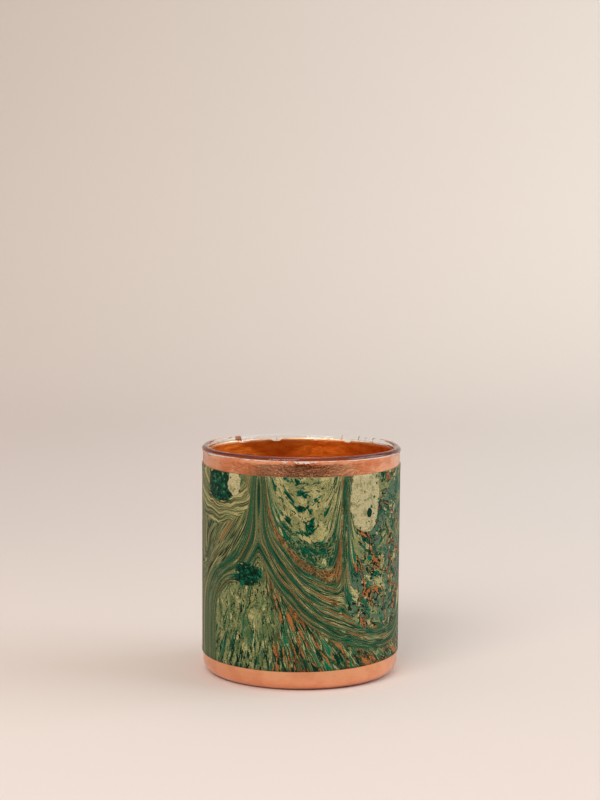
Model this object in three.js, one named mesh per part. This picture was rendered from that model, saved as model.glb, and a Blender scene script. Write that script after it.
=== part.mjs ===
// Pen holder cup: a straight-sided glass tumbler, gilded on the outside with copper leaf, with a band
// of marbled paper wrapped round it over the leaf.
//
// Millimetres, +Z up. The origin is at the middle of the underside, on the table. Angles round the cup
// are in degrees from the front (-Y), turning towards the right-hand side (+X).
//
// The leaf and the paper are made as they are in life: a flat sheet is rolled onto the wall, and it
// climbs over whatever sheets were laid before it.

import * as THREE from 'three';

// Glass tumbler
const HEIGHT = 93;
const WALL_RADIUS_LOW = 39.88; // outside, at the table
const WALL_RADIUS_HIGH = 40.12; // outside, at the rim
const WALL_THICKNESS = 2.5;
const FLOOR_THICKNESS = 7.5;
const CORNER_RADIUS = 5.3; // outside, wall to underside
const INNER_CORNER_RADIUS = 5;
const PUNT_RADIUS = 28; // the shallow hollow under the base
const PUNT_DEPTH = 0.8;
const LIP_HALF_WIDTH = 1.5; // the fire-polished bead that ends the wall
const LIP_RISE = 1.2; // from the bead's widest point to the crest
const LIP_STAND_OUT = 0.55; // how far the bead stands proud of the wall
const FLARE_HEIGHT = 1.3; // of the curve from the wall out to the bead

// Copper leaf, with the size that glues it down and the lacquer over it
const LEAF_THICKNESS = 0.05;
const LEAF_SHEET_ANGLE = 200; // a 140 mm sheet goes this far round
const LEAF_TOP = 90.4;
const LEAF_JOIN = 12; // where the wall sheets meet the sheet that wraps the base
const FLAKE_ANGLE = -137.5; // a stray scrap stuck to the clear rim, at the back left
const FLAKE_WIDTH_ANGLE = 5;
const FLAKE_BOTTOM = 90.7;
const FLAKE_TOP = 91.7;

// Marbled paper
const PAPER_THICKNESS = 0.25;
const PAPER_BOTTOM = 8.4;
const PAPER_TOP = 85.6;
const PAPER_LAP_ANGLE = 10; // the end of the band is glued over its start, at the back

// How finely round shapes are faceted, and the play that keeps layers from touching
const FACETS = 72;
const FACET_ANGLE = 360 / FACETS;
const ARC_STEPS = 6;
const PLAY = 0.02;
const JOIN_GAP = 0.3;
const FULL_TURN = 360;
const BACK = 180;

// The glass stands on the leaf that covers its underside.
const UNDERSIDE = LEAF_THICKNESS + PLAY;

const radians = THREE.MathUtils.degToRad;

// Outside radius of the wall at a height, without the lip.
function wallRadius(z) {
  return THREE.MathUtils.lerp(WALL_RADIUS_LOW, WALL_RADIUS_HIGH, z / HEIGHT);
}

// Heights at which the wall starts to flare, and where the lip's bead is widest.
const BEAD_Z = HEIGHT - LIP_RISE;
const FLARE_Z = BEAD_Z - FLARE_HEIGHT;

// Outside radius including the flare that leads out to the bead.
function outsideRadius(z) {
  const flare = THREE.MathUtils.smoothstep(z, FLARE_Z, BEAD_Z);
  return wallRadius(z) + LIP_STAND_OUT * flare;
}

// Points on an ellipse in the (radius, height) plane, from one angle to another in degrees.
function arc(centreR, centreZ, halfR, halfZ, from, to, steps = ARC_STEPS) {
  const points = [];
  for (let i = 0; i <= steps; i += 1) {
    const angle = radians(THREE.MathUtils.lerp(from, to, i / steps));
    points.push(new THREE.Vector2(centreR + halfR * Math.cos(angle), centreZ + halfZ * Math.sin(angle)));
  }
  return points;
}

// The outside of the tumbler's foot, from the axis out and up to a height on the wall, moved
// outwards by a distance. With none it is the glass itself, and with some it is a layer on the glass.
function footOutline(distance, topZ) {
  const underside = UNDERSIDE - distance;
  const cornerZ = UNDERSIDE + CORNER_RADIUS;
  const cornerR = wallRadius(cornerZ) - CORNER_RADIUS;
  const puntSteps = 3;
  const outline = [];
  for (let i = 0; i <= puntSteps; i += 1) {
    const along = i / puntSteps;
    const rise = PUNT_DEPTH * (1 - along * along);
    outline.push(new THREE.Vector2(PUNT_RADIUS * along, underside + rise));
  }
  const corner = CORNER_RADIUS + distance;
  outline.push(...arc(cornerR, cornerZ, corner, corner, -90, 0));
  outline.push(new THREE.Vector2(wallRadius(topZ) + distance, topZ));
  return outline;
}

// Turns a closed outline in the (radius, height) plane into a solid standing on +Z.
function turned(outline) {
  const geometry = new THREE.LatheGeometry(outline, FACETS);
  geometry.rotateX(Math.PI / 2);
  return geometry;
}

function tumblerGeometry() {
  const lipR = outsideRadius(BEAD_Z) - LIP_HALF_WIDTH;
  const innerR = wallRadius(HEIGHT / 2) - WALL_THICKNESS;
  const floorZ = UNDERSIDE + FLOOR_THICKNESS;
  const outline = footOutline(0, FLARE_Z);
  const flareSteps = 4;
  for (let i = 1; i < flareSteps; i += 1) {
    const z = THREE.MathUtils.lerp(FLARE_Z, BEAD_Z, i / flareSteps);
    outline.push(new THREE.Vector2(outsideRadius(z), z));
  }
  outline.push(...arc(lipR, BEAD_Z, LIP_HALF_WIDTH, LIP_RISE, 0, 180));
  const wallTopZ = BEAD_Z - FLARE_HEIGHT;
  outline.push(new THREE.Vector2(innerR, wallTopZ));
  const cornerR = innerR - INNER_CORNER_RADIUS;
  const cornerZ = floorZ + INNER_CORNER_RADIUS;
  outline.push(...arc(cornerR, cornerZ, INNER_CORNER_RADIUS, INNER_CORNER_RADIUS, 0, -90));
  outline.push(new THREE.Vector2(0, floorZ));
  return turned(outline);
}

// The leaf that wraps the underside and the rounded corner, and ends on the wall under the paper.
function baseLeafGeometry() {
  const outside = footOutline(PLAY + LEAF_THICKNESS, LEAF_JOIN);
  const inside = footOutline(PLAY, LEAF_JOIN).reverse();
  return turned([...outside, ...inside]);
}

// The flat sheets, in the order in which they are laid on the wall.
const halfLeaf = LEAF_SHEET_ANGLE / 2;
const laid = [
  {
    name: 'copper_leaf_front', from: -halfLeaf, to: halfLeaf, thickness: LEAF_THICKNESS,
    bottom: LEAF_JOIN + JOIN_GAP, top: LEAF_TOP,
  },
  {
    name: 'copper_leaf_back', from: BACK - halfLeaf, to: BACK + halfLeaf, thickness: LEAF_THICKNESS,
    bottom: LEAF_JOIN + JOIN_GAP, top: LEAF_TOP,
  },
  {
    name: 'marbled_paper_band', from: -BACK - PAPER_LAP_ANGLE / 2, to: BACK + PAPER_LAP_ANGLE / 2,
    thickness: PAPER_THICKNESS, bottom: PAPER_BOTTOM, top: PAPER_TOP,
  },
];

// Whether a sheet lies at an angle round the cup, whichever turn the angle is counted in.
function covers(sheet, angle) {
  const past = THREE.MathUtils.euclideanModulo(angle - sheet.from, FULL_TURN);
  return past <= sheet.to - sheet.from;
}

// How far a sheet's inner face stands off the glass at an angle along it: over each sheet laid
// before it there, and over its own start where it has gone right round.
function standOff(sheet, angle) {
  const below = laid.slice(0, laid.indexOf(sheet)).filter((other) => covers(other, angle));
  const heights = below.map((other) => other.thickness + PLAY);
  const ownStart = angle - sheet.from >= FULL_TURN ? sheet.thickness + PLAY : 0;
  return heights.reduce((sum, height) => sum + height, PLAY + ownStart);
}

// Rolls a flat sheet onto the outside of the cup. Its columns fall on the glass's own facets.
function rolledGeometry(sheet, rows, radiusAt, standOffAt) {
  const turn = sheet.to - sheet.from;
  const columns = Math.round(turn / FACET_ANGLE);
  const geometry = new THREE.BoxGeometry(turn, sheet.top - sheet.bottom, 1, columns, rows, 1);
  const position = geometry.getAttribute('position');
  for (let i = 0; i < position.count; i += 1) {
    const angle = sheet.from + turn / 2 + position.getX(i);
    const z = (sheet.bottom + sheet.top) / 2 + position.getY(i);
    const outer = position.getZ(i) > 0 ? sheet.thickness : 0;
    const radius = radiusAt(z) + standOffAt(angle) + outer;
    position.setXYZ(i, radius * Math.sin(radians(angle)), -radius * Math.cos(radians(angle)), z);
  }
  return geometry;
}

// A scrap of leaf that stuck to the flare and the bead above the leaf's own edge.
function flakeGeometry() {
  const flake = {
    from: FLAKE_ANGLE - FLAKE_WIDTH_ANGLE / 2, to: FLAKE_ANGLE + FLAKE_WIDTH_ANGLE / 2,
    thickness: LEAF_THICKNESS, bottom: FLAKE_BOTTOM, top: FLAKE_TOP,
  };
  const flakeRows = 4;
  return rolledGeometry(flake, flakeRows, outsideRadius, () => 2 * PLAY);
}

const glass = new THREE.MeshStandardMaterial({
  color: 0xe9eeec, roughness: 0.02, metalness: 0, transparent: true, opacity: 0.35,
});
const copperLeaf = new THREE.MeshStandardMaterial({ color: 0xc9794f, roughness: 0.38, metalness: 1 });
const marbledPaper = new THREE.MeshStandardMaterial({ color: 0x5a6f50, roughness: 0.6, metalness: 0 });

const cup = new THREE.Group();

function add(name, geometry, material) {
  const mesh = new THREE.Mesh(geometry, material.clone());
  mesh.name = name;
  cup.add(mesh);
}

add('glass_tumbler', tumblerGeometry(), glass);
add('copper_leaf_base', baseLeafGeometry(), copperLeaf);
for (const sheet of laid) {
  const material = sheet.thickness === LEAF_THICKNESS ? copperLeaf : marbledPaper;
  add(sheet.name, rolledGeometry(sheet, 1, wallRadius, (angle) => standOff(sheet, angle)), material);
}
add('copper_leaf_flake', flakeGeometry(), copperLeaf);

export default cup;
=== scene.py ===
"""Pen holder cup: a clear glass tumbler, gilded on the outside with copper leaf and wrapped in a band
of hand-marbled paper.

Metres, +Z up, the origin at the middle of the underside. Angles round the cup are counted from the
front (-Y), turning towards the right-hand side (+X). A sheet is first made flat, as X along it,
Y off the wall and Z up, and is then rolled onto the wall.
"""

import math

import bpy
from mathutils import Matrix, Vector, noise


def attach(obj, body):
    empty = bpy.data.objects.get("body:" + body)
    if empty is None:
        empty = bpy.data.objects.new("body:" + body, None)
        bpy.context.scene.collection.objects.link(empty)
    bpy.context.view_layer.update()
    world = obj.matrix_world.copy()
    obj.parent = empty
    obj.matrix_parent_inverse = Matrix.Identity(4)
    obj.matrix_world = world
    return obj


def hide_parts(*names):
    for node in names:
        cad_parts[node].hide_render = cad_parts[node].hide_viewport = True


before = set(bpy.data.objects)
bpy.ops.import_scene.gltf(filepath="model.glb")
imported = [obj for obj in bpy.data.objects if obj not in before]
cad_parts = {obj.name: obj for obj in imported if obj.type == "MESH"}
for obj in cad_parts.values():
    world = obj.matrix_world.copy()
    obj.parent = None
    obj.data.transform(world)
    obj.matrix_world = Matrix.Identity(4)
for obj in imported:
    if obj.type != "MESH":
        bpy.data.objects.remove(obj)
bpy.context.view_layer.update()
scene = bpy.context.scene

MM = 0.001

# Glass tumbler
HEIGHT = 93 * MM
WALL_RADIUS_LOW = 39.88 * MM
WALL_RADIUS_HIGH = 40.12 * MM
WALL_THICKNESS = 2.5 * MM
FLOOR_THICKNESS = 7.5 * MM
CORNER_RADIUS = 5.3 * MM
INNER_CORNER_RADIUS = 5 * MM
PUNT_RADIUS = 28 * MM
PUNT_DEPTH = 0.8 * MM
LIP_HALF_WIDTH = 1.5 * MM
LIP_RISE = 1.2 * MM
LIP_STAND_OUT = 0.55 * MM
FLARE_HEIGHT = 1.3 * MM
UNDERSIDE = 0.07 * MM
BEAD_Z = HEIGHT - LIP_RISE
FLARE_Z = BEAD_Z - FLARE_HEIGHT
MEAN_RADIUS = (WALL_RADIUS_LOW + WALL_RADIUS_HIGH) / 2
GLASS_FACETS = 256

# Copper leaf
LEAF_THICKNESS = 0.05 * MM
LEAF_BITE = 0.015 * MM  # its size grips the glass, so no air is left between them
LEAF_JOIN = 12 * MM
LEAF_HALF_TURN = math.radians(100)
LEAF_LAP_EASE = math.radians(0.8)
LEAF_COLUMNS = 720

# Marbled paper
PAPER_THICKNESS = 0.25 * MM
PAPER_GLUE = 0.02 * MM
PAPER_LAP = math.radians(10)
PAPER_COLUMNS = 372
PAPER_ROWS = 44

# Camera
CAMERA_PLACE = (0.0, -0.7976, 0.1944)
CAMERA_YAW = -0.0009
CAMERA_PITCH = -0.1037
CAMERA_ROLL = 0.0071
LENS = 88.54
SENSOR = 36.0


def srgb(red, green, blue):
    """A paint-chart colour, 0 to 255, as the linear colour that shaders take."""
    def linear(channel):
        channel /= 255
        return channel / 12.92 if channel <= 0.04045 else ((channel + 0.055) / 1.055) ** 2.4
    return (linear(red), linear(green), linear(blue), 1.0)


class Tree:
    """A node tree with short ways to add the nodes that the finishes and the makers use."""

    def __init__(self, tree):
        self.tree = tree

    def node(self, kind, **settings):
        made = self.tree.nodes.new(kind)
        for name, value in settings.items():
            setattr(made, name, value)
        return made

    def put(self, socket, value):
        """Links a socket to an output, or sets its own value."""
        if isinstance(value, bpy.types.NodeSocket):
            self.tree.links.new(value, socket)
        elif value is not None:
            socket.default_value = value

    def fill(self, node, **values):
        """Puts values on a node's inputs, which are named with underscores for spaces."""
        for name, value in values.items():
            self.put(node.inputs[name.replace("_", " ")], value)
        return node.outputs

    def math(self, operation, a, b=None, c=None, clamp=False):
        made = self.node("ShaderNodeMath", operation=operation, use_clamp=clamp)
        for socket, value in zip(made.inputs, (a, b, c)):
            self.put(socket, value)
        return made.outputs[0]

    def vector(self, operation, a, b=None):
        made = self.node("ShaderNodeVectorMath", operation=operation)
        self.put(made.inputs[0], a)
        self.put(made.inputs[1], b)
        return made.outputs["Vector"]

    def scaled(self, vector, factor):
        made = self.node("ShaderNodeVectorMath", operation="SCALE")
        self.put(made.inputs[0], vector)
        self.put(made.inputs["Scale"], factor)
        return made.outputs["Vector"]

    def step(self, value, low, high):
        """0 below low and 1 above high, or 1 below high and 0 above low where low is the greater."""
        made = self.node("ShaderNodeMapRange", interpolation_type="SMOOTHSTEP")
        rising = low <= high
        self.put(made.inputs["Value"], value)
        made.inputs["From Min"].default_value = min(low, high)
        made.inputs["From Max"].default_value = max(low, high)
        made.inputs["To Min"].default_value = 0.0 if rising else 1.0
        made.inputs["To Max"].default_value = 1.0 if rising else 0.0
        return made.outputs["Result"]

    def noise(self, vector, scale, detail=2.0, roughness=0.5, distortion=0.0, output="Fac"):
        made = self.node("ShaderNodeTexNoise")
        self.fill(made, Vector=vector, Scale=scale, Detail=detail, Roughness=roughness, Distortion=distortion)
        return made.outputs[output]

    def cells(self, vector, scale, feature="F1"):
        made = self.node("ShaderNodeTexVoronoi", feature=feature)
        return self.fill(made, Vector=vector, Scale=scale)

    def mix(self, share, first, second, blend="MIX"):
        made = self.node("ShaderNodeMix", data_type="RGBA", blend_type=blend)
        for socket, value in ((made.inputs[0], share), (made.inputs[6], first), (made.inputs[7], second)):
            self.put(socket, value)
        return made.outputs[2]

    def blend(self, share, first, second):
        """A plain number between two others."""
        made = self.node("ShaderNodeMix", data_type="FLOAT")
        for socket, value in ((made.inputs[0], share), (made.inputs[2], first), (made.inputs[3], second)):
            self.put(socket, value)
        return made.outputs[0]

    def ramp(self, share, stops, interpolation="LINEAR"):
        made = self.node("ShaderNodeValToRGB")
        self.put(made.inputs[0], share)
        made.color_ramp.interpolation = interpolation
        band = made.color_ramp.elements
        while len(band) < len(stops):
            band.new(1.0)
        for element, (place, colour) in zip(band, stops):
            element.position = place
            element.color = colour
        return made.outputs["Color"]

    def away(self, x, y):
        """How far a point at x and y is from the middle."""
        return self.math("SQRT", self.math("MULTIPLY_ADD", x, x, self.math("MULTIPLY", y, y)))

    def combine(self, x, y, z=0.0):
        made = self.node("ShaderNodeCombineXYZ")
        for socket, value in zip(made.inputs, (x, y, z)):
            self.put(socket, value)
        return made.outputs[0]

    def split(self, vector):
        made = self.node("ShaderNodeSeparateXYZ")
        self.put(made.inputs[0], vector)
        return made.outputs

    def bump(self, height, strength, distance, normal=None):
        made = self.node("ShaderNodeBump")
        return self.fill(made, Height=height, Strength=strength, Distance=distance, Normal=normal)[0]

    def shape(self, kind, **values):
        """Adds a geometry node of a kind, fills its inputs and gives its first output."""
        return self.fill(self.node("GeometryNode" + kind), **values)[0]

    def principled(self, **values):
        """Adds the main shader, fills its inputs and gives the shader."""
        return self.fill(self.node("ShaderNodeBsdfPrincipled"), **values)[0]

    def surface(self, shader):
        """Ends a finish in its shader."""
        self.put(self.node("ShaderNodeOutputMaterial").inputs[0], shader)

    def result(self, value):
        """Ends a group in its one output."""
        self.put(self.node("NodeGroupOutput").inputs[0], value)


def new_material(name):
    material = bpy.data.materials.new(name)
    material.use_nodes = True
    material.node_tree.nodes.clear()
    return material, Tree(material.node_tree)


def new_group(name, kind, inputs, output):
    """Starts a node group and gives it with its inputs, which are named with their kinds of socket."""
    tree = bpy.data.node_groups.new(name, kind)
    for label, socket in inputs.items():
        tree.interface.new_socket(label, in_out="INPUT", socket_type="NodeSocket" + socket)
    label, socket = output
    tree.interface.new_socket(label, in_out="OUTPUT", socket_type="NodeSocket" + socket)
    t = Tree(tree)
    return t, t.node("NodeGroupInput").outputs


def millimetres(t):
    """Object coordinates, in millimetres."""
    return t.scaled(t.node("ShaderNodeTexCoord").outputs["Object"], 1 / MM)


# ---------------------------------------------------------------- finishes

# Heights in millimetres. The leaf is smoother below the first and crinkled above the second. Seen
# through the glass it has a painted highlight, which fades in from the third to the fourth and stays above
# that.
LEAF_SMOOTH_TO, LEAF_CRINKLED_FROM = 60.0, 80.0
LEAF_PALE_FROM, LEAF_PALEST_AT = 90.0, 90.9


def copper_leaf_material():
    """Beaten copper leaf under a clear lacquer: crinkled above the paper, smoother round the foot."""
    bright = (0.90, 0.42, 0.22, 1.0)
    deep = (0.72, 0.22, 0.08, 1.0)
    oxidised = (0.30, 0.09, 0.04, 1.0)
    material, t = new_material("Copper leaf")
    place = millimetres(t)
    height = t.split(place)["Z"]
    upper = t.step(height, LEAF_SMOOTH_TO, LEAF_CRINKLED_FROM)

    patches = t.noise(place, 0.12, 3.0, 0.6)
    fine = t.noise(place, 1.6, 4.0, 0.65)
    patchy = t.math("MULTIPLY", t.step(patches, 0.38, 0.66), t.blend(upper, 0.35, 0.95))
    colour = t.mix(patchy, bright, deep)
    colour = t.mix(t.math("MULTIPLY", t.step(fine, 0.58, 0.76), 0.6), colour, deep)
    pits = t.cells(t.vector("ADD", place, t.noise(place, 2.0, output="Color")), 0.9)
    pitted = t.step(t.split(pits["Color"])["X"], 0.80, 0.84)
    pit = t.math("MULTIPLY", t.step(pits["Distance"], 0.13, 0.04), pitted)
    colour = t.mix(t.math("MULTIPLY", pit, 0.8), colour, oxidised)

    flattened = t.vector("MULTIPLY", place, (0.8, 0.8, 1.5))
    folds = t.noise(flattened, 0.55, 6.0, 0.68, 0.8)
    bent = t.scaled(t.noise(flattened, 0.8, 3.0, output="Color"), 1.5)
    creases = t.cells(t.vector("ADD", flattened, bent), 0.75)
    crinkle = t.math("ADD", folds, t.math("MULTIPLY", creases["Distance"], 0.35))
    crumpled = t.math("MULTIPLY", upper, t.step(t.noise(place, 0.07, 1.0), 0.34, 0.56))
    relief = t.blend(crumpled, t.blend(upper, 0.10, 0.30), 1.0)
    scratches = t.noise(t.vector("MULTIPLY", place, (0.9, 0.9, 9.0)), 1.1, 3.0, 0.7)
    grain = t.noise(place, 5.0, 3.0, 0.6)
    rough = t.math("MULTIPLY_ADD", fine, 0.22, t.blend(upper, 0.20, 0.12))
    rough = t.math("MULTIPLY_ADD", t.step(scratches, 0.58, 0.66), 0.08, rough)

    normal = t.bump(t.math("MULTIPLY", crinkle, relief), 1.0, 0.19 * MM)
    normal = t.bump(scratches, 0.25, 0.01 * MM, normal)
    normal = t.bump(grain, 0.30, 0.012 * MM, normal)
    t.surface(t.principled(
        Base_Color=colour, Metallic=1.0, Roughness=rough, Normal=normal,
        Coat_Weight=0.45, Coat_Roughness=0.14, Coat_IOR=1.5,
    ))
    return material


def leaf_underside_material(name, pale):
    """The leaf's inner face, seen through the glass and its amber size, and given a colour at its torn edge:
    a painted highlight on the sheets of leaf, a burnt colour on the scraps.
    """
    amber = (0.88, 0.25, 0.03, 1.0)
    burnt = (0.70, 0.15, 0.012, 1.0)
    material, t = new_material(name)
    place = millimetres(t)
    streaks = t.noise(t.vector("MULTIPLY", place, (1.0, 1.0, 2.6)), 0.16, 4.0, 0.62)
    fine = t.noise(place, 1.2, 4.0, 0.6)
    colour = t.mix(t.step(streaks, 0.34, 0.66), burnt, amber)
    colour = t.mix(t.math("MULTIPLY", t.step(fine, 0.56, 0.76), 0.5), colour, burnt)
    edge = t.math("ADD", t.split(place)["Z"], t.math("MULTIPLY", fine, 1.2))
    # Painted highlight on the sheets of leaf: above a ragged height near the torn edge the colour turns to
    # the one given.
    colour = t.mix(t.step(edge, LEAF_PALE_FROM, LEAF_PALEST_AT), colour, pale)
    rough = t.math("MULTIPLY_ADD", fine, 0.25, 0.20)
    normal = t.bump(t.math("ADD", streaks, t.math("MULTIPLY", fine, 0.3)), 0.8, 0.25 * MM)
    t.surface(t.principled(Base_Color=colour, Metallic=1.0, Roughness=rough, Normal=normal))
    return material


def glass_material():
    """Clear glass with faint waves and a few smudges. Its shadow lets the light through."""
    tint = (0.965, 0.98, 0.972, 1.0)
    material, t = new_material("Clear glass")
    place = millimetres(t)
    waves = t.noise(t.vector("MULTIPLY", place, (1.0, 1.0, 0.4)), 0.10, 2.0, 0.4)
    smudges = t.step(t.noise(place, 0.22, 4.0, 0.65), 0.52, 0.74)
    rough = t.math("MULTIPLY", smudges, 0.05)
    normal = t.bump(waves, 0.25, 0.05 * MM)
    shader = t.principled(
        Base_Color=tint, IOR=1.5, Transmission_Weight=1.0, Roughness=rough, Normal=normal,
    )
    passing = t.node("ShaderNodeBsdfTransparent")
    t.fill(passing, Color=tint)
    either = t.node("ShaderNodeMixShader")
    t.put(either.inputs[0], t.node("ShaderNodeLightPath").outputs["Is Shadow Ray"])
    t.put(either.inputs[1], shader)
    t.put(either.inputs[2], passing.outputs[0])
    t.surface(either.outputs[0])
    return material


# Inks of the marbling, as they dry on the paper
PALEST = srgb(204, 190, 146)
MIST = srgb(92, 118, 92)
CREAM = srgb(192, 182, 126)
KHAKI = srgb(144, 146, 96)
OLIVE = srgb(78, 104, 64)
SAGE = srgb(36, 94, 68)
DEEP = srgb(0, 50, 34)
TEAL = srgb(0, 114, 82)
COPPER = srgb(176, 112, 62)
INK = srgb(4, 14, 8)

# Strokes of the stylus through the floating ink, in millimetres on the sheet: where round the sheet, how
# far the ink is drawn up, how far the pull reaches to the left and to the right, how blunt the
# stylus is, and the heights between which the stroke fades in.
STROKES = (
    (-16.8, 44, 22, 22, 0.8, -100, -50),
    (-16.8, 26, 4.0, 3.2, 0.5, 56, 86),
    (17.6, 36, 5.5, 2.4, 0.5, 28, 78),
    (-49, -30, 8, 8, 1.0, 80, 10),
    (-57, 22, 8, 8, 1.0, 45, 75),
    (64, 26, 9, 9, 1.0, -100, -50),
    (-88, 30, 12, 12, 1.0, -100, -50),
    (-112, -34, 9, 9, 1.0, 96, 20),
    (96, -34, 10, 10, 1.0, 96, 20),
    (118, 30, 12, 12, 1.0, -100, -50),
)
STROKE_INPUTS = ("At", "Pull", "Left reach", "Right reach", "Blunt", "From", "To")

# The fan of streaks under the first stroke spreads from here, in millimetres, and a radian of it is
# drawn as if it were this wide.
FAN_ALONG, FAN_HEIGHT = -17.0, 63.0
FAN_SPREAD = 58.0

# The dome of khaki to the left of the fan: its middle, its half width and half height, the level of its
# edge in the lanes of ink, and how many lanes lie in one width of it.
DOME_AT = (-24.0, 20.0)
DOME_SIZE = (16.0, 32.0)
DOME_EDGE = 8.5
DOME_LANES = 36.0


# Where one pattern gives way to the next, in millimetres: a pair of places round the sheet, or of
# heights. In a pair, the pattern is absent at the first and whole at the second. The dome's height is
# on the sheet as it is now, and the others are where the ink lay before the strokes.
DOME_RIGHT, DOME_LEFT, DOME_TOP = (-20.0, -32.0), (-78.0, -62.0), (56.0, 30.0)
POOL_LEFT, POOL_RIGHT = (-19.0, -16.0), (18.4, 17.0)
CRESCENT_TOP, ROW_TOP, ARCS_TOP = (39.5, 38.5), (35.5, 34.5), (32.0, 31.0)
BROAD_RIGHT, BROAD_TOP = (-15.0, -18.0), (52.0, 47.0)
FINE_BOTTOM, FINE_TOP, FAN_TOP = (8.0, 9.5), (29.5, 27.0), (9.0, 7.5)

# The combed lines at the second stroke: where they lie, how far they reach to each side, and the
# heights on the sheet between which they begin.
COMBED_AT, COMBED_REACH, COMBED_FOOT = 18.6, (2.0, 1.2), (40.0, 52.0)


def stroke_group():
    """Undoes one stroke of the stylus: the height at which the ink that is now at a place lay before."""
    inputs = dict.fromkeys(("Along", "Height", "Moved height") + STROKE_INPUTS, "Float")
    t, given = new_group("Stylus stroke", "ShaderNodeTree", inputs, ("Height before", "Float"))
    away = t.math("SUBTRACT", given["Along"], given["At"])
    far = t.math("SUBTRACT", t.away(away, given["Blunt"]), given["Blunt"])
    left = t.math("LESS_THAN", away, 0.0)
    wider = t.math("SUBTRACT", given["Left reach"], given["Right reach"])
    reach = t.math("MULTIPLY_ADD", left, wider, given["Right reach"])
    pull = t.math("EXPONENT", t.math("DIVIDE", t.math("MULTIPLY", far, -1.0), reach))
    fade = t.node("ShaderNodeMapRange", interpolation_type="SMOOTHSTEP")
    t.fill(fade, Value=given["Height"], From_Min=given["From"], From_Max=given["To"])
    pull = t.math("MULTIPLY", pull, fade.outputs["Result"])
    t.result(t.math("SUBTRACT", given["Moved height"], t.math("MULTIPLY", pull, given["Pull"])))
    return t.tree


def before_strokes(t, along, height):
    """The height at which the ink at a place lay before any stroke was made."""
    group = stroke_group()
    before = height
    for stroke in STROKES:
        made = t.node("ShaderNodeGroup", node_tree=group)
        for socket, value in zip(made.inputs, (along, height, before) + stroke):
            t.put(socket, value)
        before = made.outputs[0]
    return before


def stirred(t, place, slow, quick):
    """Moves a place about at random, as ink drifts on the bath."""
    drift = t.vector("SUBTRACT", t.noise(place, 0.11, 2.0, output="Color"), (0.5, 0.5, 0.5))
    shake = t.vector("SUBTRACT", t.noise(place, 0.55, 3.0, output="Color"), (0.5, 0.5, 0.5))
    return t.vector("ADD", t.vector("ADD", place, t.scaled(drift, slow)), t.scaled(shake, quick))


def drops(t, colour, place, scale, share, kinds, ring=None, rim=0.0, core=0.0):
    """Lays round drops of ink over a colour, in a share of the cells of that scale. Each may have a ring
    of another ink, of a width in millimetres, and some have a smaller drop at their heart."""
    cell = t.cells(place, scale)
    name = t.split(cell["Color"])
    chosen = t.step(name["X"], 1 - share, 1 - share + 0.01)
    radius = t.math("MULTIPLY_ADD", name["Z"], 0.30, 0.22)
    inset = t.math("SUBTRACT", radius, cell["Distance"])
    if ring:
        colour = t.mix(t.math("MULTIPLY", chosen, t.step(inset, 0.0, 0.02)), colour, ring)
    inside = t.math("MULTIPLY", chosen, t.step(inset, rim * scale, rim * scale + 0.02))
    colour = t.mix(inside, colour, t.ramp(name["Y"], kinds, "CONSTANT"))
    if core:
        heart = t.math("MULTIPLY", inside, t.step(cell["Distance"], core, core - 0.03))
        hearts = ((0.0, DEEP), (0.35, INK), (0.5, KHAKI), (0.7, TEAL), (0.85, SAGE))
        colour = t.mix(heart, colour, t.ramp(name["Z"], hearts, "CONSTANT"))
    return colour


def veins(t, colour, place, scale, wide, ink, edge=None):
    """Winding veins of ink that follow the level lines of a slow noise, with an edge of another ink."""
    level = t.math("ABSOLUTE", t.math("SUBTRACT", t.noise(place, scale, 3.0, 0.6), 0.5))
    if edge:
        colour = t.mix(t.step(level, wide * 1.9, wide * 1.6), colour, edge)
    return t.mix(t.step(level, wide, wide * 0.8), colour, ink)


def turkish_spots(t, place):
    """Drops thrown on drops: greens and khaki with copper veins."""
    calm = stirred(t, place, 9.0, 1.1)
    ground = t.mix(t.step(t.noise(calm, 0.10, 3.0, 0.6), 0.49, 0.52), MIST, KHAKI)
    ground = t.mix(t.step(t.noise(calm, 0.20, 3.0, 0.6), 0.53, 0.55), ground, SAGE)
    greens = ((0.0, MIST), (0.35, DEEP), (0.50, TEAL), (0.80, SAGE))
    ground = drops(t, ground, calm, 0.17, 0.60, greens, INK, 0.35, 0.16)
    ground = veins(t, ground, calm, 0.065, 0.014, COPPER, INK)
    ground = t.mix(t.step(t.noise(calm, 0.15, 4.0, 0.65), 0.59, 0.60), ground, CREAM)
    kinds = ((0.0, TEAL), (0.38, SAGE), (0.68, DEEP), (0.86, COPPER), (0.94, CREAM))
    ground = drops(t, ground, calm, 0.29, 0.50, kinds, KHAKI, 0.25, 0.14)
    ground = veins(t, ground, calm, 0.16, 0.012, INK)
    return drops(t, ground, calm, 0.65, 0.30, ((0.0, DEEP), (0.35, INK), (0.6, TEAL), (0.85, CREAM)))


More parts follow.
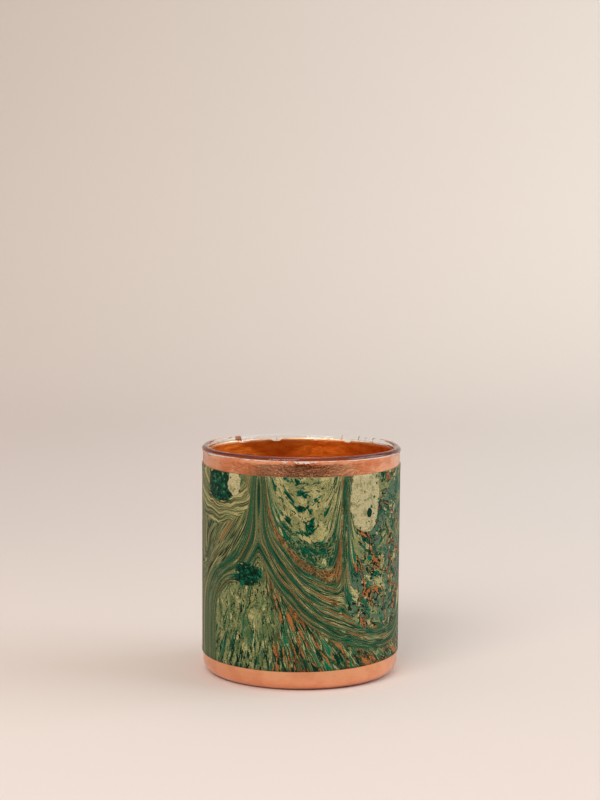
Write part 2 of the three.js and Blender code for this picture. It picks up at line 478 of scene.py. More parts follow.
def khaki_pool(t, wet, along, before):
    """A pale pool of khaki and cream with torn spots of deep green. Under it lie a dark crescent, a row of
    green and khaki drops, and arcs of copper."""
    ground = t.mix(t.step(t.noise(wet, 0.20, 4.0, 0.65), 0.42, 0.60), KHAKI, CREAM)
    tilted = t.vector("ADD", wet, t.combine(0.0, t.math("MULTIPLY", along, -0.5)))
    tilted = t.vector("MULTIPLY", tilted, (0.7, 1.3, 1.0))
    green = t.noise(tilted, 0.24, 3.0, 0.62)
    ground = t.mix(t.step(green, 0.545, 0.555), ground, SAGE)
    ground = t.mix(t.step(green, 0.565, 0.575), ground, INK)
    ground = t.mix(t.step(green, 0.58, 0.585), ground, TEAL)
    ground = t.mix(t.step(green, 0.60, 0.62), ground, DEEP)
    ground = veins(t, ground, wet, 0.22, 0.010, INK)
    ground = drops(t, ground, wet, 0.8, 0.16, ((0.0, DEEP), (0.5, TEAL), (0.8, OLIVE)))
    shift = t.math("MULTIPLY", t.math("SUBTRACT", t.noise(wet, 0.16, 3.0), 0.5), 9.0)
    uneven = t.math("ADD", before, shift)
    crescent = streaks(t, t.vector("MULTIPLY", wet, (0.42, 1.0, 1.0)), 0.34, (
        (0.0, INK), (0.38, TEAL), (0.42, DEEP), (0.46, SAGE), (0.475, INK), (0.49, KHAKI), (0.51, TEAL),
        (0.53, INK), (0.545, DEEP), (0.58, KHAKI), (0.60, TEAL), (0.66, CREAM),
    ))
    row = drops(t, crescent, t.vector("MULTIPLY", wet, (0.45, 1.0, 1.0)), 0.26, 0.62,
                ((0.0, KHAKI), (0.45, TEAL), (0.8, SAGE)), CREAM, 0.3, 0.12)
    lower = t.mix(t.step(uneven, *ROW_TOP), crescent, row)
    arcs = streaks(t, t.vector("MULTIPLY", wet, (0.14, 1.0, 1.0)), 0.42, (
        (0.0, INK), (0.36, COPPER), (0.425, INK), (0.435, DEEP), (0.46, KHAKI), (0.475, COPPER), (0.52, INK),
        (0.53, SAGE), (0.555, COPPER), (0.59, DEEP), (0.62, KHAKI),
    ))
    lower = t.mix(t.step(uneven, *ARCS_TOP), lower, arcs)
    return t.mix(t.step(uneven, *CRESCENT_TOP), ground, lower)


def streaks(t, drawn, scale, lanes):
    return t.ramp(t.noise(drawn, scale, 3.0, 0.56), lanes)


def fan_of_streaks(t, along, height):
    """Under the first stroke: streaks that spread downwards from its foot, khaki then copper and teal."""
    across = t.math("SUBTRACT", along, FAN_ALONG)
    down = t.math("SUBTRACT", FAN_HEIGHT, height)
    angle = t.math("ARCTAN2", across, down)
    far = t.away(across, down)
    spread = t.math("MULTIPLY", angle, FAN_SPREAD)
    waved = stirred(t, t.combine(spread, t.math("MULTIPLY", far, 0.13)), 2.2, 0.5)
    torn = stirred(t, t.combine(spread, t.math("MULTIPLY", far, 0.22)), 3.0, 1.1)
    rough = stirred(t, t.combine(along, t.math("MULTIPLY", height, 0.5)), 5.0, 2.0)
    khaki = t.mix(t.step(t.noise(rough, 0.25, 4.0, 0.65), 0.38, 0.58), OLIVE, KHAKI)
    khaki = t.mix(t.step(t.noise(rough, 0.45, 4.0, 0.65), 0.54, 0.66), khaki, CREAM)
    greener = t.math("MULTIPLY", t.step(height, 30.0, 14.0), 0.05)
    khaki = t.mix(t.step(t.math("ADD", t.noise(torn, 0.42, 4.0, 0.7), greener), 0.585, 0.60), khaki, SAGE)
    khaki = t.mix(t.step(t.math("ADD", t.noise(torn, 0.60, 4.0, 0.7), greener), 0.60, 0.61), khaki, DEEP)
    khaki = t.mix(t.step(t.noise(torn, 0.90, 4.0, 0.7), 0.62, 0.63), khaki, TEAL)
    khaki = veins(t, khaki, rough, 0.24, 0.010, INK)
    mixed = streaks(t, waved, 0.34, (
        (0.0, DEEP), (0.33, TEAL), (0.37, KHAKI), (0.405, DEEP), (0.435, OLIVE), (0.46, INK), (0.47, SAGE),
        (0.50, CREAM), (0.515, TEAL), (0.545, OLIVE), (0.575, INK), (0.585, COPPER), (0.62, DEEP),
        (0.66, SAGE), (0.70, COPPER),
    ))
    copper = t.noise(torn, 0.40, 4.0, 0.66)
    mixed = t.mix(t.step(copper, 0.555, 0.565), mixed, INK)
    mixed = t.mix(t.step(copper, 0.57, 0.58), mixed, COPPER)
    mixed = t.mix(t.step(t.noise(torn, 0.5, 4.0, 0.7), 0.565, 0.575), mixed, DEEP)
    mixed = drops(t, mixed, torn, 0.8, 0.22, ((0.0, DEEP), (0.4, TEAL), (0.7, KHAKI)))
    blend = t.math("ADD", angle, t.math("MULTIPLY", t.math("SUBTRACT", t.noise(rough, 0.1, 2.0), 0.5), 0.5))
    return t.mix(t.step(blend, 0.12, 0.20), khaki, mixed)


# The large drops: where each lies on the sheet, half its width and height, and how uneven it is, all
# in millimetres. The bowl's rings are drawn round a point of their own.
DARK_DROP = (-22.0, 46.0), (6.2, 5.0), 6.5
BOWL = (-39.0, 76.5), (18.0, 12.0), 5.0
BOWL_HEART = (-36.5, 80.0), (9.0, 6.5), 6.0
BOWL_RIM = (-28.5, 82.0), (3.2, 5.5), 4.0
PALE_DROP = (27.5, 77.0), (7.4, 15.0), 5.0
PALE_DROP_EYE = (29.3, 70.0), (1.3, 1.9), 1.0
BOWL_RINGS_AT = (-36.0, 85.0, 0.0)


def blob(t, place, at, size, wobble):
    """1 inside an uneven oval on the sheet."""
    uneven = t.vector("ADD", place, t.scaled(t.noise(place, 0.28, 4.0, 0.65, output="Color"), wobble))
    centre = (at[0] + wobble / 2, at[1] + wobble / 2, 0.0)
    reach = t.vector("DIVIDE", t.vector("SUBTRACT", uneven, centre), (size[0], size[1], 1.0))
    away = t.split(reach)
    square = t.math("MULTIPLY_ADD", away["X"], away["X"], t.math("MULTIPLY", away["Y"], away["Y"]))
    return t.step(square, 1.03, 0.97)


SWIRL_INKS = (
    (0.0, DEEP), (0.34, SAGE), (0.38, KHAKI), (0.42, INK), (0.428, KHAKI), (0.455, CREAM), (0.485, INK),
    (0.492, OLIVE), (0.51, KHAKI), (0.54, INK), (0.546, CREAM), (0.57, KHAKI), (0.60, INK), (0.61, SAGE),
    (0.63, COPPER), (0.66, DEEP),
)


def set_pieces(t, colour, along, height):
    """The large drops that stand out: a ringed bowl, a pale drop with an eye, and a dark drop."""
    place = t.combine(along, height)
    loose = stirred(t, place, 4.0, 2.6)
    mottled = t.mix(t.step(t.noise(loose, 0.5, 4.0, 0.7), 0.52, 0.58), DEEP, TEAL)
    mottled = t.mix(t.step(t.noise(loose, 0.75, 4.0, 0.7), 0.57, 0.60), mottled, SAGE)
    mottled = veins(t, mottled, loose, 0.35, 0.022, INK)
    mottled = drops(t, mottled, loose, 0.9, 0.25, ((0.0, INK), (0.6, KHAKI)))
    colour = t.mix(blob(t, place, *DARK_DROP), colour, mottled)
    pale = t.mix(t.step(t.noise(loose, 0.35, 4.0, 0.65), 0.34, 0.50), KHAKI, PALEST)
    pale = drops(t, pale, stirred(t, place, 3.0, 1.0), 0.75, 0.16, ((0.0, SAGE), (0.5, TEAL), (0.8, DEEP)))
    middle = t.vector("SUBTRACT", stirred(t, place, 5.0, 0.6), BOWL_RINGS_AT)
    away = t.split(t.vector("MULTIPLY", middle, (0.55, 1.0, 1.0)))
    rings = t.away(away["X"], away["Y"])
    swirl = streaks(t, t.combine(t.math("MULTIPLY", along, 0.03), rings), 0.22, SWIRL_INKS)
    colour = t.mix(blob(t, place, *BOWL), colour, swirl)
    colour = t.mix(blob(t, place, *BOWL_HEART), colour, mottled)
    colour = t.mix(blob(t, place, *BOWL_RIM), colour, pale)
    colour = t.mix(blob(t, place, *PALE_DROP), colour, pale)
    return t.mix(blob(t, place, *PALE_DROP_EYE), colour, DEEP)


def round_the_dome(t, along, height, before):
    """To the left of the dome of khaki the strokes' lines bend round it, and run down its side."""
    across = t.math("DIVIDE", t.math("SUBTRACT", along, DOME_AT[0]), DOME_SIZE[0])
    up = t.math("DIVIDE", t.math("SUBTRACT", height, DOME_AT[1]), DOME_SIZE[1])
    bent = t.math("MULTIPLY_ADD", t.away(across, up), DOME_LANES, DOME_EDGE - DOME_LANES)
    here = t.math("MULTIPLY", t.step(along, *DOME_RIGHT), t.step(height, *DOME_TOP))
    here = t.math("MULTIPLY", here, t.step(along, *DOME_LEFT))
    return t.blend(here, before, bent)


BROAD_LANES = (
    (0.0, DEEP), (0.35, KHAKI), (0.385, INK), (0.40, SAGE), (0.415, KHAKI), (0.445, DEEP), (0.465, INK),
    (0.475, CREAM), (0.485, KHAKI), (0.505, INK), (0.52, DEEP), (0.54, KHAKI), (0.565, SAGE), (0.575, INK),
    (0.59, KHAKI), (0.61, DEEP), (0.645, CREAM), (0.66, INK), (0.67, COPPER), (0.70, TEAL),
)
FINE_LANES = (
    (0.0, INK), (0.33, SAGE), (0.37, DEEP), (0.41, OLIVE), (0.435, INK), (0.455, TEAL), (0.465, SAGE),
    (0.48, KHAKI), (0.492, DEEP), (0.515, SAGE), (0.53, INK), (0.545, OLIVE), (0.562, CREAM),
    (0.572, DEEP), (0.61, COPPER), (0.625, INK), (0.64, CREAM), (0.66, TEAL),
)


def marbling(t, along, height):
    """Colour of the marbled sheet at a place on it, in millimetres."""
    before = before_strokes(t, along, height)
    before = round_the_dome(t, along, height, before)
    place = t.combine(along, before)
    wet = stirred(t, place, 8.0, 2.2)
    spotted = turkish_spots(t, place)
    pool = khaki_pool(t, wet, along, before)
    middle = t.math("MULTIPLY", t.step(along, *POOL_LEFT), t.step(along, *POOL_RIGHT))
    colour = t.mix(middle, spotted, pool)

    shifting = t.math("SUBTRACT", t.noise(place, 0.07, 2.0), 0.5)
    lane = t.math("MULTIPLY_ADD", shifting, 5.0, before)
    broad = streaks(t, t.combine(t.math("MULTIPLY", along, 0.10), lane), 0.17, BROAD_LANES)
    uneven = t.math("MULTIPLY_ADD", shifting, 14.0, before)
    left = t.math("MULTIPLY", t.step(along, *BROAD_RIGHT), t.step(uneven, *BROAD_TOP))
    colour = t.mix(left, colour, broad)
    fine = streaks(t, t.combine(t.math("MULTIPLY", along, 0.05), lane), 0.42, FINE_LANES)
    ragged = t.math("MULTIPLY_ADD", t.math("SUBTRACT", t.noise(place, 0.25, 3.0), 0.5), 5.0, before)
    lower_right = t.math("MULTIPLY_ADD", t.step(along, 12.0, 26.0), 10.5, ragged)
    swath = t.math("MULTIPLY", t.step(ragged, *FINE_BOTTOM), t.step(lower_right, *FINE_TOP))
    colour = t.mix(swath, colour, fine)
    colour = t.mix(t.step(ragged, *FAN_TOP), colour, fan_of_streaks(t, along, height))

    drift = t.math("MULTIPLY_ADD", t.noise(t.combine(0.0, height), 0.05, 2.0), 2.0, along)
    beside = t.math("ABSOLUTE", t.math("SUBTRACT", drift, COMBED_AT))
    lines = t.combine(t.math("MULTIPLY", drift, 1.2), t.math("MULTIPLY", height, 0.05))
    combed = streaks(t, lines, 0.7, FINE_LANES)
    drawn = t.math("MULTIPLY", t.step(beside, *COMBED_REACH), t.step(height, *COMBED_FOOT))
    colour = t.mix(drawn, colour, combed)
    return set_pieces(t, colour, along, height)


def marbled_paper_material():
    """Laid paper with floating ink taken up from the bath, lightly burnished."""
    material, t = new_material("Marbled paper")
    flat = t.split(t.node("ShaderNodeUVMap", uv_map="sheet").outputs[0])
    place = t.combine(flat["X"], flat["Y"])
    fibres = t.noise(t.vector("MULTIPLY", place, (1.0, 2.2, 1.0)), 2.6, 4.0, 0.7)
    grain = t.noise(place, 2.4, 3.0, 0.7)
    colour = marbling(t, flat["X"], flat["Y"])
    stipple = t.ramp(grain, ((0.40, (0.44, 0.47, 0.45, 1.0)), (0.56, (1.11, 1.14, 1.11, 1.0))))
    colour = t.mix(1.0, colour, stipple, "MULTIPLY")
    rough = t.math("MULTIPLY_ADD", fibres, 0.24, 0.42)
    normal = t.bump(fibres, 0.35, 0.02 * MM)
    normal = t.bump(grain, 0.45, 0.02 * MM, normal)
    t.surface(t.principled(
        Base_Color=colour, Roughness=rough, Normal=normal, IOR=1.45, Specular_IOR_Level=0.09,
        Sheen_Weight=0.05, Sheen_Roughness=0.4,
    ))
    return material


def paper_core_material():
    """The cut edge of the paper, where its unprinted fibres show."""
    material, t = new_material("Paper core")
    place = millimetres(t)
    fibres = t.noise(t.vector("MULTIPLY", place, (1.0, 1.0, 5.0)), 3.0, 4.0, 0.7)
    colour = t.mix(fibres, srgb(120, 112, 84), srgb(196, 186, 158))
    rough = t.math("MULTIPLY_ADD", fibres, 0.2, 0.7)
    t.surface(t.principled(Base_Color=colour, Roughness=rough, Normal=t.bump(fibres, 0.5, 0.03 * MM)))
    return material


# ---------------------------------------------------------------- shapes

def smooth(low, high, value):
    share = min(1.0, max(0.0, (value - low) / (high - low)))
    return share * share * (3 - 2 * share)


def wall_radius(z):
    return WALL_RADIUS_LOW + (WALL_RADIUS_HIGH - WALL_RADIUS_LOW) * z / HEIGHT


def outside_radius(z):
    return wall_radius(z) + LIP_STAND_OUT * smooth(FLARE_Z, BEAD_Z, z)


def arc(centre_r, centre_z, half_r, half_z, start, end, steps):
    """Points on an ellipse in the (radius, height) plane, from one angle to another in degrees."""
    angles = [math.radians(start + (end - start) * i / steps) for i in range(steps + 1)]
    return [(centre_r + half_r * math.cos(a), centre_z + half_z * math.sin(a)) for a in angles]


def foot_outline(off):
    """The tumbler's foot from the axis out to the end of the corner, moved outwards by a distance."""
    underside = UNDERSIDE - off
    corner_z = UNDERSIDE + CORNER_RADIUS
    corner_r = wall_radius(corner_z) - CORNER_RADIUS
    steps = 10
    punt = []
    for i in range(steps + 1):
        out = i / steps
        punt.append((PUNT_RADIUS * out, underside + PUNT_DEPTH * (1 - out ** 2) ** 2))
    rest = [(PUNT_RADIUS + (corner_r - PUNT_RADIUS) * i / 3, underside) for i in range(1, 3)]
    corner = CORNER_RADIUS + off
    return punt + rest + arc(corner_r, corner_z, corner, corner, -90, 0, 14)


def straight(start, end, steps):
    """Points after the start and up to the end of a line in the (radius, height) plane."""
    shares = [i / steps for i in range(1, steps + 1)]
    return [(start[0] + (end[0] - start[0]) * s, start[1] + (end[1] - start[1]) * s) for s in shares]


def tumbler_outline():
    inner_r = wall_radius(HEIGHT / 2) - WALL_THICKNESS
    floor_z = UNDERSIDE + FLOOR_THICKNESS
    lip_r = outside_radius(BEAD_Z) - LIP_HALF_WIDTH
    outline = foot_outline(0)
    outline += straight(outline[-1], (wall_radius(FLARE_Z), FLARE_Z), 24)
    heights = [FLARE_Z + FLARE_HEIGHT * i / 10 for i in range(1, 10)]
    outline += [(outside_radius(z), z) for z in heights]
    lip = arc(lip_r, BEAD_Z, LIP_HALF_WIDTH, LIP_RISE, 0, 180, 26)
    outline += lip
    lip_inner_r = lip[-1][0]
    steps = 8
    fall = []
    for i in range(1, steps + 1):
        down = i / steps
        inwards = (inner_r - lip_inner_r) * smooth(0, 1, down)
        fall.append((lip_inner_r + inwards, BEAD_Z - 2 * FLARE_HEIGHT * down))
    outline += fall
    corner_r = inner_r - INNER_CORNER_RADIUS
    corner_z = floor_z + INNER_CORNER_RADIUS
    corner = arc(corner_r, corner_z, INNER_CORNER_RADIUS, INNER_CORNER_RADIUS, 0, -90, 14)
    outline += straight(fall[-1], corner[0], 24)[:-1] + corner
    outline += straight(corner[-1], (0, floor_z), 12)
    return outline


def base_leaf_outline():
    outside = foot_outline(UNDERSIDE)
    inside = foot_outline(-LEAF_BITE)
    outside += straight(outside[-1], (wall_radius(LEAF_JOIN) + LEAF_THICKNESS, LEAF_JOIN), 6)
    inside += straight(inside[-1], (wall_radius(LEAF_JOIN) - LEAF_BITE, LEAF_JOIN), 6)
    return outside + inside[::-1]


def lathe_tree():
    """Turns an outline, drawn as a line of points in the XZ plane, round +Z."""
    inputs = {"Geometry": "Geometry", "Facets": "Int", "Material": "Material"}
    t, given = new_group("Turned on a lathe", "GeometryNodeTree", inputs, ("Geometry", "Geometry"))
    count = t.node("GeometryNodeAttributeDomainSize", component="MESH")
    rows = t.fill(count, Geometry=given["Geometry"])["Point Count"]
    grid = t.shape("MeshGrid", Vertices_X=t.math("ADD", given["Facets"], 1.0), Vertices_Y=rows)
    index = t.node("GeometryNodeInputIndex").outputs[0]
    column = t.math("FLOOR", t.math("DIVIDE", t.math("ADD", index, 0.5), rows))
    row = t.math("SUBTRACT", index, t.math("MULTIPLY", column, rows))
    angle = t.math("MULTIPLY", t.math("DIVIDE", column, given["Facets"]), 2 * math.pi)
    sample = t.node("GeometryNodeSampleIndex", data_type="FLOAT_VECTOR", domain="POINT")
    position = t.node("GeometryNodeInputPosition").outputs[0]
    t.fill(sample, Geometry=given["Geometry"], Value=position, Index=row)
    point = t.split(sample.outputs[0])
    x = t.math("MULTIPLY", point["X"], t.math("SINE", angle))
    y = t.math("MULTIPLY", t.math("MULTIPLY", point["X"], -1.0), t.math("COSINE", angle))
    turned = t.shape("SetPosition", Geometry=grid, Position=t.combine(x, y, point["Z"]))
    closed = t.shape("MergeByDistance", Geometry=turned, Distance=1e-6)
    soft = t.shape("SetShadeSmooth", Geometry=closed)
    real = t.shape("RealizeInstances", Geometry=soft)
    t.result(t.shape("SetMaterial", Geometry=real, Material=given["Material"]))
    return t.tree


ROLL_SIZES = {
    "Radius low": WALL_RADIUS_LOW, "Radius high": WALL_RADIUS_HIGH, "Cup height": HEIGHT,
    "Flare from": FLARE_Z, "Flare to": BEAD_Z, "Lip stand out": LIP_STAND_OUT,
}


def roll_tree():
    """Rolls a flat sheet, as X along it, Y off the wall and Z up, onto the outside of the cup."""
    finishes = dict.fromkeys(("Face material", "Edge material", "Back material"), "Material")
    inputs = {"Geometry": "Geometry", **dict.fromkeys(ROLL_SIZES, "Float"), **finishes}
    t, given = new_group("Rolled onto the wall", "GeometryNodeTree", inputs, ("Geometry", "Geometry"))
    low, high = given["Radius low"], given["Radius high"]
    flat = t.split(t.node("GeometryNodeInputPosition").outputs[0])
    mean = t.math("MULTIPLY", t.math("ADD", low, high), 0.5)
    angle = t.math("DIVIDE", flat["X"], mean)
    up = t.math("DIVIDE", flat["Z"], given["Cup height"])
    wall = t.math("MULTIPLY_ADD", up, t.math("SUBTRACT", high, low), low)
    flare = t.node("ShaderNodeMapRange", interpolation_type="SMOOTHSTEP")
    t.fill(flare, Value=flat["Z"], From_Min=given["Flare from"], From_Max=given["Flare to"])
    wall = t.math("MULTIPLY_ADD", flare.outputs["Result"], given["Lip stand out"], wall)
    radius = t.math("ADD", wall, flat["Y"])
    x = t.math("MULTIPLY", radius, t.math("SINE", angle))
    y = t.math("MULTIPLY", t.math("MULTIPLY", radius, -1.0), t.math("COSINE", angle))
    rolled = t.shape("SetPosition", Geometry=given["Geometry"], Position=t.combine(x, y, flat["Z"]))
    real = t.shape("RealizeInstances", Geometry=rolled)
    painted = t.shape("SetMaterial", Geometry=real, Material=given["Face material"])
    for attribute, label in (("cut_edge", "Edge material"), ("back_face", "Back material")):
        marked = t.node("GeometryNodeInputNamedAttribute", data_type="BOOLEAN")
        here = t.fill(marked, Name=attribute)["Attribute"]
        painted = t.shape("SetMaterial", Geometry=painted, Selection=here, Material=given[label])
    t.result(painted)
    return t.tree


def make(name, plan, tree, sizes):
    """Runs a tree on a plan mesh, and keeps the plain mesh that it makes as an object at the origin."""
    seed = bpy.data.objects.new(name + " plan", plan)
    scene.collection.objects.link(seed)
    modifier = seed.modifiers.new("Make", "NODES")
    modifier.node_group = tree
    keys = {item.name: item.identifier for item in tree.interface.items_tree if item.in_out == "INPUT"}
    for label, value in sizes.items():
        modifier[keys[label]] = value
    graph = bpy.context.evaluated_depsgraph_get()
    mesh = bpy.data.meshes.new_from_object(seed.evaluated_get(graph))
    bpy.data.objects.remove(seed)
    mesh.name = name
    piece = bpy.data.objects.new(name, mesh)
    scene.collection.objects.link(piece)
    return piece


def outline_mesh(name, outline):
    mesh = bpy.data.meshes.new(name)
    points = [(r, 0, z) for r, z in outline]
    mesh.from_pydata(points, [(i, i + 1) for i in range(len(points) - 1)], [])
    return mesh


def turned(name, outline, material, tree):
    return make(name, outline_mesh(name, outline), tree, {"Facets": GLASS_FACETS, "Material": material})


def mark(mesh, name, values):
    """Marks some faces of a plan mesh, so that a tree can tell them apart."""
    mesh.attributes.new(name, "BOOLEAN", "FACE").data.foreach_set("value", values)


def slab_mesh(name, columns, rows, place, thickness):
    """A closed flat sheet. place(across, up) gives its inner face, and across and up run from 0 to 1."""
    points = []
    for side in (0, 1):
        for j in range(rows + 1):
            for i in range(columns + 1):
                x, y, z = place(i / columns, j / rows)
                points.append((x, y + side * thickness, z))
    layer = (columns + 1) * (rows + 1)

    def at(side, i, j):
        return side * layer + j * (columns + 1) + i

    faces = []
    for j in range(rows):
        for i in range(columns):
            faces.append((at(1, i, j), at(1, i + 1, j), at(1, i + 1, j + 1), at(1, i, j + 1)))
            faces.append((at(0, i, j), at(0, i, j + 1), at(0, i + 1, j + 1), at(0, i + 1, j)))
    wide = len(faces)
    for i in range(columns):
        faces.append((at(0, i, 0), at(0, i + 1, 0), at(1, i + 1, 0), at(1, i, 0)))
        faces.append((at(0, i, rows), at(1, i, rows), at(1, i + 1, rows), at(0, i + 1, rows)))
    for j in range(rows):
        faces.append((at(0, 0, j), at(1, 0, j), at(1, 0, j + 1), at(0, 0, j + 1)))
        faces.append((at(0, columns, j), at(0, columns, j + 1), at(1, columns, j + 1), at(1, columns, j)))
    mesh = bpy.data.meshes.new(name)
    mesh.from_pydata(points, [], faces)
    sheet = mesh.uv_layers.new(name="sheet")
    for loop in mesh.loops:
        x, _, z = points[loop.vertex_index]
        sheet.data[loop.index].uv = (x / MM, z / MM)
    mark(mesh, "cut_edge", [index >= wide for index in range(len(faces))])
    mark(mesh, "back_face", [index < wide and index % 2 == 1 for index in range(len(faces))])
    mesh.polygons.foreach_set("use_smooth", [index < wide for index in range(len(faces))])
    return mesh


def rolled(name, plan, face, edge, back, tree):
    sizes = {**ROLL_SIZES, "Face material": face, "Edge material": edge, "Back material": back}
    return make(name, plan, tree, sizes)


def torn_edge(angle, seed):
    """How far the torn top of the leaf strays from its usual height at an angle."""
    x, y = math.sin(angle) * MEAN_RADIUS / MM, -math.cos(angle) * MEAN_RADIUS / MM
    slow = noise.noise(Vector((x * 0.11, y * 0.11, seed)))
    quick = noise.noise(Vector((x * 0.45, y * 0.45, seed + 7)))
    ragged = noise.noise(Vector((x * 2.1, y * 2.1, seed + 13)))
    splinter = noise.noise(Vector((x * 5.0, y * 5.0, seed + 21)))
    return (0.30 * slow + 0.28 * quick + 0.22 * ragged + 0.16 * splinter) * MM


def leaf_sheet(name, start, end, seed, under, materials, tree):
    """A sheet of leaf on the wall between two angles, where under(angle) is how far it is held off."""
    rows = 26

    def place(across, up):
        angle = start + (end - start) * across
        ends = min(across, 1 - across) * (end - start)
        sag = 0.25 * MM * (1 - smooth(0, math.radians(6), ends))
        top = leaf_top(angle) + torn_edge(angle, seed) - sag
        z = LEAF_JOIN + (top - LEAF_JOIN) * (1 - (1 - up) ** 1.8)
        return angle * MEAN_RADIUS, under(angle) - LEAF_BITE, z

    plan = slab_mesh(name, LEAF_COLUMNS, rows, place, LEAF_THICKNESS + LEAF_BITE)
    return rolled(name, plan, materials["leaf"], materials["leaf"], materials["underside"], tree)


# The leaf's usual top edge in millimetres: its middle height, and how much higher it is at the front.
LEAF_TOP_MIDDLE, LEAF_TOP_TILT = 91.05, 0.35

# Chips out of that edge: the angle and half the width in degrees, and the depth in millimetres.
CHIPS = (
    (-9.4, 2.8, 0.55), (-1.5, 3.6, 0.75), (3.4, 3.2, 0.62), (7.4, 2.0, 0.4),
    (-66.0, 5.0, 0.7), (-58.0, 2.0, 0.4), (-31.0, 2.0, 0.3), (71.0, 4.0, 0.6),
    (150.0, 3.0, 0.8), (196.0, 4.0, 0.9), (221.0, 5.0, 0.6), (171.0, 2.0, 0.5),
)


def leaf_top(angle):
    """Usual height of the leaf's top edge at an angle: higher at the front, and lower where it is chipped."""
    usual = LEAF_TOP_MIDDLE + LEAF_TOP_TILT * math.cos(angle)
    chip = 0.0
    for at, half, depth in CHIPS:
        away = abs(math.degrees(wrapped(angle - math.radians(at))))
        chip = max(chip, depth * (1 - smooth(0.3 * half, half, away)))
    return (usual - chip) * MM


def leaf_step(angle):
    """Height of the front sheet's leaf under the back sheet, at an angle within 180 degrees of the front."""
    inside = LEAF_HALF_TURN - abs(angle)
    return (LEAF_THICKNESS + LEAF_BITE) * smooth(-LEAF_LAP_EASE, 0, inside)


def wrapped(angle):
    """The same angle, within half a turn of the front."""
    return (angle + math.pi) % (2 * math.pi) - math.pi


# The paper is cut and laid a little off level. Each edge in millimetres: its middle height, and how much
# higher it is at the front and at the right.
PAPER_TOP = (86.0, -0.73, 0.05)
PAPER_BOTTOM = (9.05, -0.96, 0.45)
PAPER_LAP_EASE = math.radians(1.2)
RIPPLE = 0.035 * MM
CURL = 0.06 * MM
CURL_WIDTH = 1.6 * MM


def tilted(edge, angle):
    """Height of a sheet's edge at an angle."""
    middle, front, right = edge
    return (middle + front * math.cos(angle) + right * math.sin(angle)) * MM


def paper_band(materials, tree):
    start, end = -math.pi - PAPER_LAP / 2, math.pi + PAPER_LAP / 2

    def stand_off(angle):
        near = abs(wrapped(angle))
        back_start = math.pi - LEAF_HALF_TURN
        over_front = smooth(-LEAF_LAP_EASE, LEAF_LAP_EASE, LEAF_HALF_TURN - near)
        over_back = smooth(-LEAF_LAP_EASE, LEAF_LAP_EASE, near - back_start)
        lap = smooth(-PAPER_LAP_EASE, 0, angle - (start + 2 * math.pi))
        return LEAF_THICKNESS * (over_front + over_back) + PAPER_GLUE + (PAPER_THICKNESS + PAPER_GLUE) * lap

    def place(across, up):
        angle = start + (end - start) * across
        top, bottom = tilted(PAPER_TOP, angle), tilted(PAPER_BOTTOM, angle)
        z = bottom + (top - bottom) * up
        edge = min(up, 1 - up) * (top - bottom)
        spot = Vector((math.sin(angle) * 4, math.cos(angle) * 4, z * 60))
        ripple = RIPPLE * (1 + noise.noise(spot))
        curl = CURL * (1 - smooth(0, CURL_WIDTH, edge)) * (1 + noise.noise(spot * 2.5))
        return angle * MEAN_RADIUS, stand_off(angle) + ripple + curl, z

    plan = slab_mesh("paper_band", PAPER_COLUMNS, PAPER_ROWS, place, PAPER_THICKNESS)
    return rolled("paper_band", plan, materials["paper"], materials["core"], materials["core"], tree)


# Two scraps of leaf: the angle, the height of the middle, the width and height, how far it stands off
# the wall, how far its upper end is lifted, and the seed of its outline.
STRAY_SCRAP = (math.radians(-137.5), 91.3 * MM, 3.4 * MM, 1.9 * MM, -LEAF_BITE, 0.05 * MM, 5.0)
LIFTED_SCRAP = (math.radians(-88), 8.9 * MM, 2.4 * MM, 1.5 * MM, 0.09 * MM, 0.7 * MM, 11.0)


def scrap(name, sizes, materials, tree):
    """An irregular scrap of leaf stuck to the cup, with its upper end lifted off."""
    angle, z, width, height, stand, lift, seed = sizes

    def place(across, up):
        turn = 2 * math.pi * across
        ragged = 1 + 0.35 * noise.noise(Vector((math.cos(turn) * 1.7, math.sin(turn) * 1.7, seed)))
        ragged += 0.18 * noise.noise(Vector((math.cos(turn) * 5, math.sin(turn) * 5, seed + 3)))
        reach = up * ragged
        x = angle * MEAN_RADIUS + 0.5 * width * reach * math.cos(turn)
        rise = lift * max(0.0, reach * math.sin(turn)) ** 2
        crumple = 0.06 * MM * abs(noise.noise(Vector((x / MM, z / MM + reach, seed))))
        return x, stand + rise + crumple, z + 0.5 * height * reach * math.sin(turn)

    columns, rings = 48, 6
    points = []
    for side in (0, 1):
        for j in range(rings + 1):
            for i in range(columns):
                x, y, h = place(i / columns, j / rings)
                points.append((x, y + side * LEAF_THICKNESS, h))
    layer = columns * (rings + 1)
    faces = []
    for j in range(rings):
        for i in range(columns):
            a, b = j * columns + i, j * columns + (i + 1) % columns
            c, d = b + columns, a + columns
            faces.append((a + layer, d + layer, c + layer, b + layer))
            faces.append((a, b, c, d))
    for i in range(columns):
        a, b = rings * columns + i, rings * columns + (i + 1) % columns
        faces.append((a, b, b + layer, a + layer))
    mesh = bpy.data.meshes.new(name)
    mesh.from_pydata(points, [], faces)
    mesh.polygons.foreach_set("use_smooth", [True] * len(faces))
    inner = [corners[1] == corners[0] + 1 and max(corners) < layer for corners in faces]
    mark(mesh, "back_face", inner)
    return rolled(name, mesh, materials["leaf"], materials["leaf"], materials["scrap"], tree)


CRUMB_SIZES = {
    "Count": 110, "Seed": 4, "Lowest": 90.6 * MM, "Highest": 91.5 * MM, "Smallest": 0.05 * MM,
    "Largest": 0.34 * MM, "Crumb thickness": LEAF_THICKNESS, "Bite": -LEAF_BITE,
}


